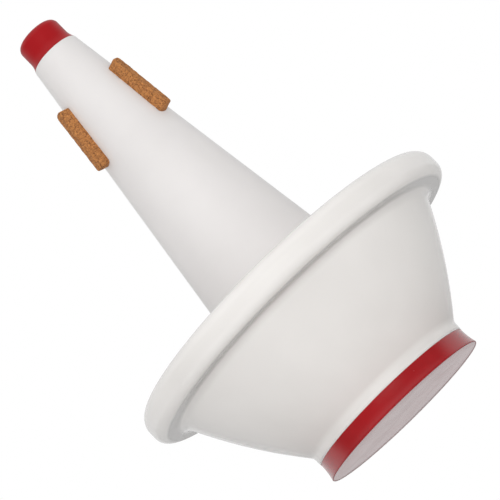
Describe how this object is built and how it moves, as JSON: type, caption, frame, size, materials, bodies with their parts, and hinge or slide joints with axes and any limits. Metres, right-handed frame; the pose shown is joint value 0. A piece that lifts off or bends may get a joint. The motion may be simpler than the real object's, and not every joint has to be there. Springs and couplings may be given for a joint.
{
  "type": "bass trombone cup mute",
  "caption": "Long hollow cone with cork pads and a wide round cup; it fits in a bass trombone's bell and softens its sound.",
  "frame": {"origin": "centre of the flat end face of the foot, at the bottom centre of the part's box", "axes": "+Z along the cone's axis from the foot to the tip; -Y towards the side seen in the picture; +X to that view's right"},
  "size_m": [0.2036, 0.2036, 0.2815],
  "materials": {
    "cone_white": "satin",
    "lining_grey": "matte",
    "collar_red": "gloss",
    "cork": "matte",
    "cup_white": "gloss",
    "ring_white": "gloss",
    "glue_white": "matte",
    "cap_red": "gloss"
  },
  "bodies": {
    "root": {"cone_shell": "cone_white", "cone_lining": "lining_grey", "tip_collar": "collar_red", "cork_pad_1": "cork", "cork_pad_2": "cork", "cork_pad_3": "cork", "cup_shell": "cup_white", "rim_ring": "ring_white", "neck_seal": "glue_white", "base_cap": "cap_red"}
  },
  "joints": []
}
